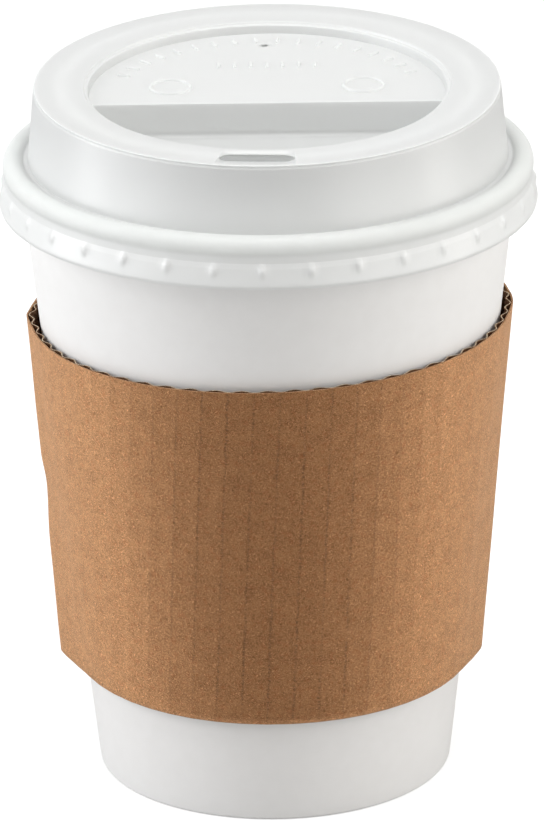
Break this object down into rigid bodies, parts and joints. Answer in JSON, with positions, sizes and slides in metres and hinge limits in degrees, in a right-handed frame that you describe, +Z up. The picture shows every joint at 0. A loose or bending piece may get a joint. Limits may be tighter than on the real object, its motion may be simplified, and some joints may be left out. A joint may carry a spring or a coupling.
{
  "type": "paper coffee cup",
  "caption": "Tapered paper cup with a rolled rim, a push-fit plastic sip lid with a slot, a vent and a front well, and a fluted card sleeve round its wall.",
  "frame": {"origin": "centre of the cup's bottom edge, on the table", "axes": "+Z up along the cup's axis, -Y towards the sip slot, -X towards the sleeve's wider fold"},
  "size_m": [0.0938, 0.0938, 0.1271],
  "materials": {
    "cup_paper": "smooth matt white coated paper",
    "lid_plastic": "thin frosted translucent white plastic with a soft gloss",
    "kraft_liner": "uncoated brown kraft paper with fine fibres",
    "kraft_fluting": "uncoated brown fluted paper"
  },
  "bodies": {
    "cup": {"cup_wall": "cup_paper", "cup_base": "cup_paper"},
    "lid": {"lid": "lid_plastic"},
    "sleeve": {"sleeve_liner": "kraft_liner", "sleeve_fluting": "kraft_fluting"}
  },
  "joints": [
    {"name": "lid_lift", "type": "slide", "parent": "cup", "child": "lid", "axis": [0, 0, 1], "range_m": [0, 0.03]},
    {"name": "sleeve_slide", "type": "slide", "parent": "cup", "child": "sleeve", "axis": [0, 0, 1], "range_m": [-0.0195, 0]}
  ]
}
